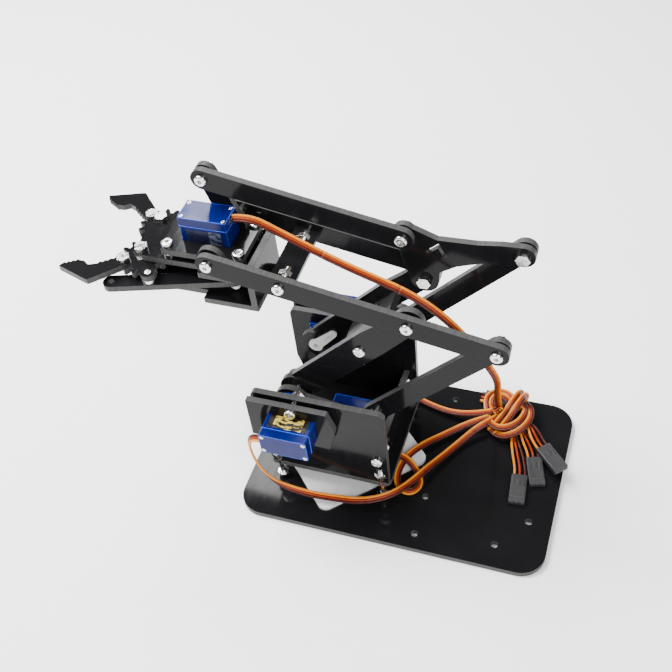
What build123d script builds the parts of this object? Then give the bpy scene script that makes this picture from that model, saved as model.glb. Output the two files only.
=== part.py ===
from build123d import *
from math import acos, atan2, cos, degrees, hypot, pi, radians, sin, tan
import os

os.makedirs("parts", exist_ok=True)

# Row frame: origin on the base plate's underside under the yaw axis, +X the way the arm reaches,
# +Y its left side, +Z up. Millimetres.

# Sheet and fasteners
sheet = 3.0
screw_r = 1.5
hole_r = 1.55
head_r = 2.75
head_h = 1.65
nut_flats = 5.5
nut_h = 2.4
washer_r = 3.4
spacer_r = 2.8
gap = 1.0

# Base and turntable
base_size = (150.0, 100.0)
base_centre_x = -32.3
base_corner_r = 12.0
base_holes = [(-46, -42), (-46, 42), (-46, 20.6), (-83.5, 38.2), (-96.4, 22.2)]
swivel_side = 60.0
swivel_t = 1.5
deck_z = 14.2
deck_x = (-30.5, 31.0)
foot = (26.0, 25.5)
left_out = 27.0
right_out = -30.0
side_top = 68.0
side_rear = -30.0
cross_x = -26.7
cross_top = 38.0

# Arm geometry in the XZ plane
shoulder = Vector(17.8, 0, 55.8)
upper_len = 82.3
upper_lean = 44.1
fore_len = 88.4
fore_rise = 11.5
lever_len = 38.3
level_front = Vector(8.2, 0, 24.8)
level_rear = Vector(-41.5, 0, 21.2)
link_r = 5.0

# Lanes: the lower Y face of each upright plate
lane_near_arm = 8.0
lane_near_fore = 12.0
lane_lever = 15.4
lane_bracket = 4.0
lane_top_link = -13.4
lane_triangle = -17.4
lane_far_arm = -21.4
lane_far_fore = -25.4

# Hobby servo, 9 g class: shaft axis at x 0, z 0 at the flange face on the shaft's side
servo_len = 22.8
servo_w = 12.2
servo_shaft_off = 5.8
flange_len = 32.2
flange_t = 2.5
servo_below = 18.4
servo_above = 4.3
boss_h = 4.0
boss_r = 5.9
spline_r = 2.35
spline_h = 3.5
horn_r = 3.5
horn_t = 1.4

# Gripper
grip_y = -8.0
grip_shaft_x = 49.4
grip_plate_z = 120.6
claw_x = 85.9
claw_half = 10.5
claw_z = 117.0
claw_teeth = 14
link_z = 112.2
lower_z = 105.2
pin = Vector(-6.4, 9.5)

# Leads, three wires side by side, and their plugs
lead_d = 3.6
lead_r = lead_d / 2
plug_size = (16.0, 7.6, 3.0)


def polar(length, angle):
    return Vector(length * cos(radians(angle)), 0, length * sin(radians(angle)))


elbow = shoulder + polar(upper_len, 90 + upper_lean)
wrist = elbow + polar(fore_len, fore_rise)
fore_rear = elbow - polar(lever_len, fore_rise)
lever_tip = shoulder - polar(lever_len, fore_rise)
tri_front = elbow + level_front
tri_rear = elbow + level_rear
fixed_pivot = shoulder + level_rear
ear_top = wrist + level_front
grip_centre_x = grip_shaft_x + servo_shaft_off
along_arm = polar(1, 90 + upper_lean)
across_arm = polar(1, upper_lean)
along_fore = polar(1, fore_rise)


def upright(sketch, y, thickness=sheet):
    """A plate drawn in X and Z that stands from y to y + thickness."""
    return extrude(Plane.XZ.offset(-(y + thickness)) * sketch, thickness)


def flat(sketch, z, thickness=sheet):
    return extrude(Pos(0, 0, z) * sketch, thickness)


def bar(p, q, r):
    """Outline of a straight link with round ends at two pivots."""
    run = q - p
    turn = degrees(atan2(run.Z, run.X))
    mid = (p + q) * 0.5
    return Pos(mid.X, mid.Z) * Rot(0, 0, turn) * SlotCenterToCenter(run.length, 2 * r)


def disc(p, r):
    return Pos(p.X, p.Z) * Circle(r)


def outline(points):
    return make_face(Polyline(*points, close=True))


def rod_y(p, y0, y1, r):
    """A round solid along Y at pivot p."""
    return extrude(Plane.XZ.offset(-y1) * Pos(p.X, p.Z) * Circle(r), y1 - y0)


def ring_y(p, y0, y1, r):
    return rod_y(p, y0, y1, r) - rod_y(p, y0, y1, hole_r)


def ring_z(x, y, z0, z1, r):
    return Pos(x, y, z0) * extrude(Circle(r) - Circle(hole_r), z1 - z0)


def screw(length, radius=screw_r, head=head_r, tall=head_h):
    """Button-head screw: the head stands on z 0 and the shank runs down to -length."""
    cap = Cylinder(head, tall, align=(Align.CENTER, Align.CENTER, Align.MIN))
    cap = fillet(cap.edges().sort_by(Axis.Z)[-1], tall * 0.55)
    cap -= Pos(0, 0, tall * 0.35) * extrude(RegularPolygon(head * 0.42, 6), tall)
    return cap + Cylinder(radius, length, align=(Align.CENTER, Align.CENTER, Align.MAX))


def nut():
    """Hexagon nut standing on z 0."""
    blank = extrude(RegularPolygon(nut_flats / 2, 6, major_radius=False), nut_h)
    return blank - Cylinder(hole_r, 3 * nut_h)


def at(x, y, z, facing):
    return Plane(origin=(x, y, z), x_dir=(1, 0, 0), z_dir=facing)


def bolt_y(p, head_y, nut_y):
    """Screw and nut along Y. The head seats at head_y and the nut's near face is at nut_y."""
    out = 1 if head_y > nut_y else -1
    length = abs(head_y - nut_y) + nut_h
    return [
        at(p.X, head_y, p.Z, (0, out, 0)) * screw(length),
        at(p.X, nut_y, p.Z, (0, -out, 0)) * nut(),
    ]


def bolt_z(x, y, head_z, nut_z):
    out = 1 if head_z > nut_z else -1
    length = abs(head_z - nut_z) + nut_h
    return [
        at(x, y, head_z, (0, 0, out)) * screw(length),
        at(x, y, nut_z, (0, 0, -out)) * nut(),
    ]


def slot_cut(depth=10.0):
    """Captive-nut slot in a plate's edge at the origin: it runs down -Z, the plate lies in XZ."""
    stem = Box(2 * hole_r, 2 * sheet, depth, align=(Align.CENTER, Align.CENTER, Align.MAX))
    pocket = Box(nut_flats + 0.1, 2 * sheet, nut_h + 0.1, align=(Align.CENTER, Align.CENTER, Align.MAX))
    return stem + Pos(0, 0, -4.0) * pocket


def slot_bolt(wall, depth=9.5):
    """Screw from above through a wall of the given thickness into a captive-nut slot."""
    return [
        Pos(0, 0, wall) * screw(depth + wall),
        Pos(0, 0, -4.05 - nut_h) * Rot(0, 0, 30) * nut(),
    ]


def servo_case():
    """Case, flange and gear boss. The shaft points along +Z and the lead leaves at the +X end."""
    mid = -servo_shaft_off
    body = Pos(mid, 0, -servo_below) * Box(
        servo_len, servo_w, servo_below + servo_above, align=(Align.CENTER, Align.CENTER, Align.MIN))
    body = fillet(body.edges().filter_by(Axis.Z), 0.8)
    under = (Align.CENTER, Align.CENTER, Align.MAX)
    flange = Pos(mid, 0, 0) * Box(flange_len, servo_w, flange_t, align=under)
    body += flange
    body += Pos(0, 0, servo_above) * Cylinder(boss_r, boss_h, align=(Align.CENTER, Align.CENTER, Align.MIN))
    on_top = (Align.CENTER, Align.CENTER, Align.MIN)
    body += Pos(mid - 0.6, 0, servo_above) * Cylinder(2.9, boss_h, align=on_top)
    for side in (-1, 1):
        body -= Pos(mid + side * 13.9, 0, 0) * Cylinder(1.0, 3 * flange_t)
        body -= Pos(mid + side * 15.6, 0, 0) * Box(2.0, 1.2, 3 * flange_t)
    return body - Pos(0, 0, servo_above + boss_h) * Cylinder(
        spline_r + 0.05, boss_h + 1.0, align=(Align.CENTER, Align.CENTER, Align.MAX))


def servo_shaft():
    top = servo_above + boss_h + spline_h
    on_top = (Align.CENTER, Align.CENTER, Align.MIN)
    core = Pos(0, 0, servo_above) * Cylinder(spline_r, top - servo_above, align=on_top)
    return core - Pos(0, 0, top) * Cylinder(0.8, 5.0)


def horn(hub_h, reach=14.0, angle=0.0, arms=1, drive=None):
    """Servo horn: hub from z 0 on the servo's side, its arm at the far end of the hub."""
    arm = Circle(horn_r)
    for k in range(arms):
        turn = Rot(0, 0, angle + 180 * k)
        taper = outline([(0, -2.8), (reach, -1.8), (reach, 1.8), (0, 2.8)])
        arm += turn * (taper + Pos(reach, 0) * Circle(1.8))
        for j in range(4):
            arm -= turn * Pos(reach - 2.0 * j, 0) * Circle(0.5)
    if drive:
        arm += Pos(*drive) * Circle(2.8)
        arm -= Pos(*drive) * Circle(hole_r)
    body = Cylinder(horn_r, hub_h, align=(Align.CENTER, Align.CENTER, Align.MIN))
    body += Pos(0, 0, hub_h - horn_t) * extrude(arm, horn_t)
    body -= Cylinder(spline_r + 0.05, 2 * (spline_h - 0.05))
    return body - Cylinder(1.1, 4 * hub_h)


def group(pieces):
    return Compound(children=[s for p in pieces for s in p.solids()])


def servo_opening(x, z):
    """Sheet cut-out that takes a servo case whose shaft is at x, z."""
    return Pos(x - servo_shaft_off, z) * Rectangle(servo_len + 0.4, servo_w + 0.4)


parts = {}

# Base
base_sheet = Pos(base_centre_x, 0) * RectangleRounded(*base_size, base_corner_r)
for x, y in base_holes:
    base_sheet -= Pos(x, y) * Circle(1.7)
parts["base_plate"] = flat(base_sheet, 0)
swivel_sheet = Rot(0, 0, 45) * RectangleRounded(swivel_side, swivel_side, 4.5)
parts["swivel_plate"] = flat(swivel_sheet, sheet, swivel_t)
swivel_top = sheet + swivel_t
deck_top = deck_z + sheet
yaw_frame = at(0, 0, deck_top, (0, 0, -1))
yaw_hub = deck_top - servo_above - boss_h - 0.1 - swivel_top
parts["yaw_horn"] = at(0, 0, swivel_top + yaw_hub, (0, 0, -1)) * horn(yaw_hub, angle=20, arms=2)
parts["yaw_servo_shaft"] = yaw_frame * servo_shaft()

# Turntable
deck_mid = ((deck_x[0] + deck_x[1]) / 2, (left_out + right_out) / 2)
deck_sheet = Pos(*deck_mid) * RectangleRounded(deck_x[1] - deck_x[0], left_out - right_out, 3)
deck_sheet -= servo_opening(0, 0)
deck_sheet -= Pos(-20, 13) * Circle(3.6)
feet = [(sx * foot[0], y) for sx in (-1, 1) for y in (foot[1], right_out + sheet / 2)]
bracket_foot = (25.0, lane_bracket + sheet / 2)
for x, y in feet + [bracket_foot]:
    deck_sheet -= Pos(x, y) * Circle(hole_r)
parts["deck"] = flat(deck_sheet, deck_z)

side_profile = outline(
    [(33.7, side_top), (side_rear, side_top), (side_rear, deck_top), (28.6, deck_top), (33.7, 34.5)]
)
side_profile = fillet(side_profile.vertices().sort_by(Axis.Y)[-2:], 3)
side_profile -= servo_opening(shoulder.X, shoulder.Z)
cross_bolt = Vector(cross_x + sheet / 2, 0, 33.4)
servo_mid_x = shoulder.X - servo_shaft_off
collar_bolts = [Vector(servo_mid_x, 0, shoulder.Z + dz) for dz in (-9.0, 9.0)]
for p in [cross_bolt] + collar_bolts:
    side_profile -= disc(p, hole_r)
ear_base = Vector(fixed_pivot.X, 0, side_top - 6)
right_profile = side_profile + bar(ear_base, fixed_pivot, link_r)
right_profile -= disc(fixed_pivot, hole_r)
left_side = upright(side_profile, left_out - sheet)
right_side = upright(right_profile, right_out)
for x, y in feet:
    edge = at(x, y, deck_top, (0, 0, -1)) * slot_cut()
    left_side -= edge
    right_side -= edge
parts["side_plate_left"] = left_side
parts["side_plate_right"] = right_side

cross_mid_y = (left_out + right_out) / 2
cross_w = left_out - right_out - 2 * sheet
cross = Pos(cross_x + sheet / 2, cross_mid_y, deck_top) * Box(
    sheet, cross_w, cross_top - deck_top, align=(Align.CENTER, Align.CENTER, Align.MIN))
cross_planes = [
    Plane(origin=(cross_bolt.X, left_out - sheet, cross_bolt.Z), x_dir=(0, 0, 1), z_dir=(0, 1, 0)),
    Plane(origin=(cross_bolt.X, right_out + sheet, cross_bolt.Z), x_dir=(0, 0, 1), z_dir=(0, -1, 0)),
]
for plane in cross_planes:
    cross -= plane * slot_cut()
for y in (left_out - sheet, right_out + sheet):
    cross -= Pos(cross_x + sheet / 2, y, deck_top) * Box(2 * sheet, 7.6, 20)
parts["rear_cross_plate"] = cross

bracket_profile = outline(
    [(19.5, deck_top), (30.5, deck_top), (30.5, 30), (24.5, 54), (12.5, 54), (19.5, 30)]
)
bracket_profile += disc(shoulder, 6.5)
bracket_profile -= disc(shoulder, hole_r)
bracket = upright(bracket_profile, lane_bracket)
bracket_plane = at(*bracket_foot, deck_top, (0, 0, -1))
parts["shoulder_bracket"] = bracket - bracket_plane * slot_cut()

collar_profile = outline([(33.7, 43.6), (33.7, side_top), (-5.0, side_top), (-8.4, 57.5), (-5.0, 43.6)])
collar_profile -= servo_opening(shoulder.X, shoulder.Z)
for p in collar_bolts:
    collar_profile -= disc(p, hole_r)
left_collar_y = left_out + flange_t
right_collar_y = right_out - flange_t - sheet
parts["servo_collar_left"] = upright(collar_profile, left_collar_y)
parts["servo_collar_right"] = upright(collar_profile, right_collar_y)
left_servo = at(shoulder.X, left_out, shoulder.Z, (0, -1, 0))
right_servo = at(shoulder.X, right_out, shoulder.Z, (0, 1, 0))
parts["yaw_servo_case"] = yaw_frame * servo_case()
parts["left_servo_case"] = left_servo * servo_case()
parts["right_servo_case"] = right_servo * servo_case()

foot_drop = deck_top - swivel_top - head_h - 0.2
table_bolts = []
for p in collar_bolts:
    table_bolts += bolt_y(p, left_collar_y + sheet, left_out - sheet)
    table_bolts += bolt_y(p, right_collar_y, right_out + sheet)
for plane in cross_planes:
    table_bolts += [plane * piece for piece in slot_bolt(sheet)]
for x, y in feet:
    table_bolts += [at(x, y, deck_top, (0, 0, -1)) * piece for piece in slot_bolt(foot_drop)]
table_bolts += [bracket_plane * piece for piece in slot_bolt(sheet)]
table_bolts += bolt_y(fixed_pivot, right_out, lane_far_arm + sheet)
table_bolts.append(ring_y(fixed_pivot, right_out + sheet, lane_far_arm, washer_r))
table_bolts += bolt_y(shoulder, lane_near_arm + sheet, lane_bracket)
table_bolts.append(ring_y(shoulder, lane_near_arm - gap, lane_near_arm, washer_r))
parts["turntable_fasteners"] = group(table_bolts)


def on_arm(s, off=0.0):
    """A point s along the upper arm from the shoulder, off to its front side."""
    return shoulder + along_arm * s + across_arm * off


# Upper arm
brace_s = 48.7
brace_run = (33.0, 64.0)


def arm_profile(rear_half):
    corners = [(6, 7.6), (58, 7.6), (74, 6), (upper_len, 6)]
    corners += [(upper_len, -6), (58, -rear_half), (6, -rear_half)]
    shape = outline([(on_arm(s, off).X, on_arm(s, off).Z) for s, off in corners])
    shape += disc(elbow, 6.2)
    shape += disc(shoulder, 8.0)
    shape -= disc(elbow, hole_r)
    return shape - disc(on_arm(brace_s), hole_r)


parts["upper_arm_left"] = upright(arm_profile(7.0) - disc(shoulder, hole_r), lane_near_arm)
parts["upper_arm_right"] = upright(arm_profile(5.5) - disc(shoulder, horn_r + 0.05), lane_far_arm)
far_inner = lane_far_arm + sheet
brace_mid = on_arm(sum(brace_run) / 2)
brace_y = (far_inner + lane_near_arm) / 2
brace = Plane(origin=(brace_mid.X, brace_y, brace_mid.Z), x_dir=along_arm, z_dir=across_arm) * Box(
    brace_run[1] - brace_run[0], lane_near_arm - far_inner, sheet)
brace_pt = on_arm(brace_s)
brace_planes = [
    Plane(origin=(brace_pt.X, lane_near_arm, brace_pt.Z), x_dir=along_arm, z_dir=(0, 1, 0)),
    Plane(origin=(brace_pt.X, far_inner, brace_pt.Z), x_dir=along_arm, z_dir=(0, -1, 0)),
]
for plane in brace_planes:
    brace -= plane * slot_cut()
parts["upper_arm_brace"] = brace
arm_bolts = [plane * piece for plane in brace_planes for piece in slot_bolt(sheet)]
parts["upper_arm_fasteners"] = group(arm_bolts)
hub_h = sheet + horn_t + 0.2
horn_dir = (along_arm.X, 0, along_arm.Z)
right_horn = Plane(origin=(shoulder.X, lane_far_arm - 0.2, shoulder.Z), x_dir=horn_dir, z_dir=(0, 1, 0))
parts["right_servo_horn"] = right_horn * horn(hub_h)
parts["right_servo_shaft"] = right_servo * servo_shaft()

# Elbow lever and its link
lever_profile = bar(lever_tip, shoulder, link_r + 0.5) + disc(shoulder, 8)
lever_profile -= disc(shoulder, horn_r + 0.05)
lever_profile -= disc(lever_tip, hole_r)
parts["elbow_lever"] = upright(lever_profile, lane_lever)
lever_dir = (-along_fore.X, 0, -along_fore.Z)
left_horn_seat = (shoulder.X, lane_lever + sheet + 0.2, shoulder.Z)
left_horn = Plane(origin=left_horn_seat, x_dir=lever_dir, z_dir=(0, -1, 0))
parts["left_servo_horn"] = left_horn * horn(hub_h)
parts["left_servo_shaft"] = left_servo * servo_shaft()
tip_bolt = bolt_y(lever_tip, lane_lever + sheet, lane_near_arm)
tip_spacer = ring_y(lever_tip, lane_near_arm + sheet, lane_lever, washer_r)
parts["elbow_link_pivot"] = group(tip_bolt + [tip_spacer])
link_profile = bar(lever_tip, fore_rear, link_r) - disc(lever_tip, hole_r) - disc(fore_rear, hole_r)
parts["elbow_link"] = upright(link_profile, lane_near_arm)

# Level triangle and level links
front_x, front_z = tri_front.X, tri_front.Z
rear_x, rear_z = tri_rear.X, tri_rear.Z
tri_r = 6.2
tri_profile = outline([
    (front_x, front_z + link_r), (front_x - 14, front_z - 0.9), (rear_x + 19, rear_z + 3.2),
    (rear_x + 9, rear_z + 4.6), (rear_x, rear_z + link_r), (rear_x, rear_z - link_r),
    (rear_x + 17, rear_z - 6.6), (rear_x + 27.4, rear_z - 10.4), (elbow.X - 6.8, elbow.Z + 5.9),
    (elbow.X - tri_r, elbow.Z), (elbow.X + tri_r, elbow.Z), (front_x + link_r, front_z)])
tri_profile += disc(tri_rear, link_r) + disc(tri_front, link_r) + disc(elbow, tri_r)
chevron = Pos(elbow.X - 6.5, elbow.Z + 20) * outline([
    (-3.6, -4.6), (0, 2.2), (5.7, -3.0), (4.6, -4.3), (0.3, -0.5), (-2.2, -5.3)])
tri_profile -= chevron
for p in (tri_rear, tri_front, elbow):
    tri_profile -= disc(p, hole_r)
parts["level_triangle"] = upright(tri_profile, lane_triangle)
tri_bolts = bolt_y(tri_rear, lane_far_arm, lane_triangle + sheet)
tri_bolts.append(ring_y(tri_rear, lane_far_arm + sheet, lane_triangle, washer_r))
tri_bolts += bolt_y(tri_front, lane_top_link + sheet, lane_triangle)
tri_bolts.append(ring_y(tri_front, lane_triangle + sheet, lane_top_link, washer_r))
tri_bolts.append(ring_y(elbow, lane_far_arm + sheet, lane_triangle, washer_r))
parts["level_triangle_fasteners"] = group(tri_bolts)
rear_profile = bar(fixed_pivot, tri_rear, link_r) - disc(fixed_pivot, hole_r) - disc(tri_rear, hole_r)
parts["rear_level_link"] = upright(rear_profile, lane_far_arm)
top_profile = bar(tri_front, ear_top, link_r) - disc(tri_front, hole_r) - disc(ear_top, hole_r)
parts["front_level_link"] = upright(top_profile, lane_top_link)

# Forearm
bar_at = elbow + along_fore * 56.0
near_profile = bar(fore_rear, wrist, link_r + 0.2)
for p in (fore_rear, elbow, wrist, bar_at):
    near_profile -= disc(p, hole_r)
parts["forearm_left"] = upright(near_profile, lane_near_fore)
far_profile = bar(elbow, wrist, link_r + 0.2)
for p in (elbow, wrist, bar_at):
    far_profile -= disc(p, hole_r)
parts["forearm_right"] = upright(far_profile, lane_far_fore)
fore_inner = lane_far_fore + sheet
cross_y = (fore_inner + lane_near_fore) / 2
fore_up = polar(1, fore_rise + 90)
crossbar = Plane(origin=(bar_at.X, cross_y, bar_at.Z), x_dir=along_fore, z_dir=fore_up) * Box(
    11, lane_near_fore - fore_inner, sheet)
fore_planes = [
    Plane(origin=(bar_at.X, lane_near_fore, bar_at.Z), x_dir=along_fore, z_dir=(0, 1, 0)),
    Plane(origin=(bar_at.X, fore_inner, bar_at.Z), x_dir=along_fore, z_dir=(0, -1, 0)),
]
for plane in fore_planes:
    crossbar -= plane * slot_cut()
parts["forearm_crossbar"] = crossbar
fore_bolts = [plane * piece for plane in fore_planes for piece in slot_bolt(sheet)]
for p in (fore_rear, elbow, wrist):
    fore_bolts += bolt_y(p, lane_near_fore + sheet, lane_near_arm)
    fore_bolts.append(ring_y(p, lane_near_arm + sheet, lane_near_fore, washer_r))
fore_bolts += bolt_y(elbow, lane_far_fore, lane_triangle + sheet)
fore_bolts.append(ring_y(elbow, fore_inner, lane_far_arm, washer_r))
fore_bolts.append(at(wrist.X, lane_far_fore, wrist.Z, (0, -1, 0)) * screw(3 * sheet + 2 * gap))
fore_bolts.append(ring_y(wrist, fore_inner, lane_triangle, washer_r))
parts["forearm_fasteners"] = group(fore_bolts)

# Gripper frame
plate_top = grip_plate_z + sheet
collar_z = plate_top + flange_t
corner_bolts = [(grip_centre_x + sx * 16.9, grip_y + sy * 10.0) for sx in (-1, 1) for sy in (-1, 1)]
claw_pivots = [(claw_x, grip_y + side * claw_half) for side in (1, -1)]
near_ear_y = lane_near_arm
top_sheet = outline([
    (32, near_ear_y + sheet), (32, grip_y - 13.8), (83, grip_y - 13.8), (89.5, grip_y - 12.4),
    (89.5, grip_y + 12.4), (83, grip_y + 14.2), (55, grip_y + 14.2), (55, near_ear_y + sheet)])
grip_opening = Pos(grip_centre_x, grip_y) * Rectangle(servo_len + 0.4, servo_w + 0.4)
top_sheet -= grip_opening
for x, y in corner_bolts + claw_pivots:
    top_sheet -= Pos(x, y) * Circle(hole_r)
parts["gripper_plate"] = flat(top_sheet, grip_plate_z)
collar_sheet = Pos(grip_centre_x, grip_y) * RectangleRounded(39.4, 27.6, 2.4)
collar_sheet -= grip_opening
collar_sheet -= Pos(wrist.X, lane_triangle + sheet / 2 + 0.1) * Rectangle(12.6, sheet + 0.6)
for x, y in corner_bolts:
    collar_sheet -= Pos(x, y) * Circle(hole_r)
parts["gripper_collar"] = flat(collar_sheet, collar_z)

wall_y = (lane_triangle, near_ear_y + sheet)
wall_h = 129 - lower_z - sheet
wall = Box(sheet, wall_y[1] - wall_y[0], wall_h, align=(Align.MIN, Align.CENTER, Align.MIN))
parts["gripper_rear_wall"] = Pos(29, sum(wall_y) / 2, lower_z + sheet) * wall
near_ear = outline([(32, plate_top), (53, plate_top), (53, wrist.Z), (41, wrist.Z), (32, 127.5)])
near_ear += disc(wrist, 6)
near_ear -= disc(wrist, hole_r)
parts["gripper_ear_left"] = upright(near_ear, near_ear_y)
w, t = wrist, ear_top
far_ear = outline([(w.X - 6, plate_top), (w.X + 6, plate_top), (w.X + 6, w.Z), (w.X - 6, w.Z)])
far_ear += disc(w, 6) + bar(w, t, link_r)
for p in (w, t):
    far_ear -= disc(p, hole_r)
parts["gripper_ear_right"] = upright(far_ear, lane_triangle)
lower_sheet = outline([
    (29, near_ear_y + sheet), (29, grip_y - 13.8), (84, grip_y - 13.8), (90, grip_y - 12.4),
    (90, grip_y + 12.4), (84, grip_y + 13.8), (55, grip_y + 13.8), (55, near_ear_y + sheet)])
lower_sheet += Pos(28.5, -12.6) * SlotCenterToCenter(8.0, 8.4)
lower_sheet -= Pos(27.0, -12.6) * SlotCenterToCenter(2.6, 1.4)
for x, y in claw_pivots:
    lower_sheet -= Pos(x, y) * Circle(hole_r)
parts["gripper_lower_plate"] = flat(lower_sheet, lower_z)
grip_servo = Plane(origin=(grip_shaft_x, grip_y, plate_top), x_dir=(-1, 0, 0), z_dir=(0, 0, -1))
parts["gripper_servo_case"] = grip_servo * servo_case()
grip_bolts = []
for x, y in corner_bolts:
    grip_bolts.append(Pos(x, y, collar_z + sheet) * screw(collar_z + sheet - grip_plate_z))
    grip_bolts.append(ring_z(x, y, plate_top, collar_z, spacer_r))
for x, y in claw_pivots:
    grip_bolts += bolt_z(x, y, lower_z, plate_top)
    grip_bolts.append(ring_z(x, y, lower_z + sheet, claw_z, washer_r))
    grip_bolts.append(ring_z(x, y, claw_z + sheet, grip_plate_z, washer_r))
grip_bolts += bolt_y(ear_top, lane_top_link + sheet, lane_triangle)
grip_bolts.append(ring_y(ear_top, lane_triangle + sheet, lane_top_link, washer_r))
parts["gripper_fasteners"] = group(grip_bolts)

# Gripper drive
boss_end = plate_top - servo_above - boss_h
crank_hub = 4.6
crank = Plane(origin=(grip_shaft_x, grip_y, boss_end - 0.1), x_dir=(1, 0, 0), z_dir=(0, 0, -1))
pin_angle = degrees(atan2(pin.Y, pin.X))
crank_reach = pin.length + 2.0
parts["gripper_horn"] = crank * horn(crank_hub, reach=crank_reach, angle=-pin_angle, drive=(pin.X, -pin.Y))
parts["gripper_servo_shaft"] = grip_servo * servo_shaft()
crank_pin = Vector(grip_shaft_x, grip_y) + pin
claw_pin = Vector(claw_x, grip_y + claw_half) + pin
run = claw_pin - crank_pin
end_hole = claw_pin + run.normalized() * 17.8
link_mid = (crank_pin + end_hole) * 0.5
link_sheet = Pos(link_mid.X, link_mid.Y) * Rot(0, 0, degrees(atan2(run.Y, run.X))) * SlotCenterToCenter(
    (end_hole - crank_pin).length, 7.5)
for p in (crank_pin, claw_pin, end_hole):
    link_sheet -= Pos(p.X, p.Y) * Circle(hole_r)
parts["claw_drive_link"] = flat(link_sheet, link_z)
arm_bottom = boss_end - 0.1 - crank_hub
parts["claw_link_screws"] = group([
    at(crank_pin.X, crank_pin.Y, arm_bottom, (0, 0, -1)) * screw(link_z + sheet - arm_bottom),
    at(claw_pin.X, claw_pin.Y, link_z, (0, 0, -1)) * screw(claw_z + sheet - link_z),
    ring_z(claw_pin.X, claw_pin.Y, link_z + sheet, claw_z, washer_r),
])


def gear_points(teeth, pitch_r, addendum, dedendum, slack, phase):
    """Involute tooth outline about the origin, with a tooth centred on the phase angle."""
    base_r = pitch_r * cos(radians(20))
    inv20 = tan(radians(20)) - radians(20)
    half = (pi * pitch_r / teeth - slack) / (2 * pitch_r) + inv20
    tip_r = pitch_r + addendum
    root_r = pitch_r - dedendum
    radii = [root_r, base_r] + [base_r + (tip_r - base_r) * k / 4 for k in range(1, 5)]
    halves = []
    for rad in radii:
        a = acos(min(1.0, base_r / max(rad, base_r)))
        halves.append(half - (tan(a) - a))
    points = []
    for k in range(teeth):
        mid = radians(phase + 360 * k / teeth)
        flank = [(mid - h, rad) for h, rad in zip(halves, radii)]
        flank += [(mid + h, rad) for h, rad in zip(reversed(halves), reversed(radii))]
        points += [(rad * cos(a), rad * sin(a)) for a, rad in flank]
    return points


def serrated(p, q, count, depth):
    """Points from p to q with small saw teeth that stand off the line."""
    dx, dy = q[0] - p[0], q[1] - p[1]
    size = hypot(dx, dy)
    nx, ny = -dy / size * depth, dx / size * depth
    points = []
    for k in range(count):
        a, b = k / count, (k + 0.55) / count
        points.append((p[0] + dx * a, p[1] + dy * a))
        points.append((p[0] + dx * b + nx, p[1] + dy * b + ny))
    return points


module = 2 * claw_half / claw_teeth


spare_x, spare_y = 7.7, 4.8


def claw_sheet(phase, lobe):
    """Claw drawn about its pivot, its blade to +X and its outer side to +Y."""
    shape = outline(gear_points(claw_teeth, claw_half, 0.75 * module, module, 0.3, phase))
    blade = [(5.0, 6.5), (18.6, 20.1), (20.5, 19.7), (35.8, 14.6)]
    blade += serrated((35.0, 13.2), (27.9, 9.0), 4, 0.7)
    blade += [(27.9, 9.2), (25.4, 9.2), (22.8, 11.0)]
    blade += serrated((18.8, 9.4), (9.0, 2.2), 5, 0.7)
    blade += [(8.0, 0.8), (6.0, -1.0)]
    shape += outline(blade)
    if lobe:
        shape += Pos(pin.X, pin.Y) * Circle(3.4)
        shape += outline([(-5.5, 4.0), (0, 8.0), (-4.0, 11.9), (-9.0, 7.4)])
        shape -= Pos(pin.X, pin.Y) * Circle(hole_r)
    shape -= Pos(spare_x, spare_y) * Circle(hole_r)
    return shape - Circle(hole_r)


left_claw = flat(claw_sheet(270, True), claw_z)
parts["claw_left"] = Pos(claw_x, grip_y + claw_half, 0) * left_claw
right_claw = mirror(flat(claw_sheet(270 + 180 / claw_teeth, False), claw_z), about=Plane.XZ)
parts["claw_right"] = Pos(claw_x, grip_y - claw_half, 0) * right_claw
for side, name in ((1, "left"), (-1, "right")):
    x, y = claw_x + spare_x, grip_y + side * (claw_half + spare_y)
    parts["claw_screw_" + name] = group(bolt_z(x, y, claw_z, claw_z + sheet))


def cord(points, taper=0.45):
    """A lead's outer shape along straight runs and tangent arcs."""
    vecs = [Vector(*p) for p in points]
    arcs = []
    for a, b, c in zip(vecs, vecs[1:], vecs[2:]):
        turn = (b - a).get_angle(c - b)
        arcs.append(taper * min((b - a).length, (c - b).length) / tan(radians(turn / 2)))
    path = FilletPolyline(*points, radius=arcs)
    section = Plane(origin=path @ 0, z_dir=path % 0) * Circle(lead_r)
    return sweep(section, path=path, transition=Transition.ROUND)


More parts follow.
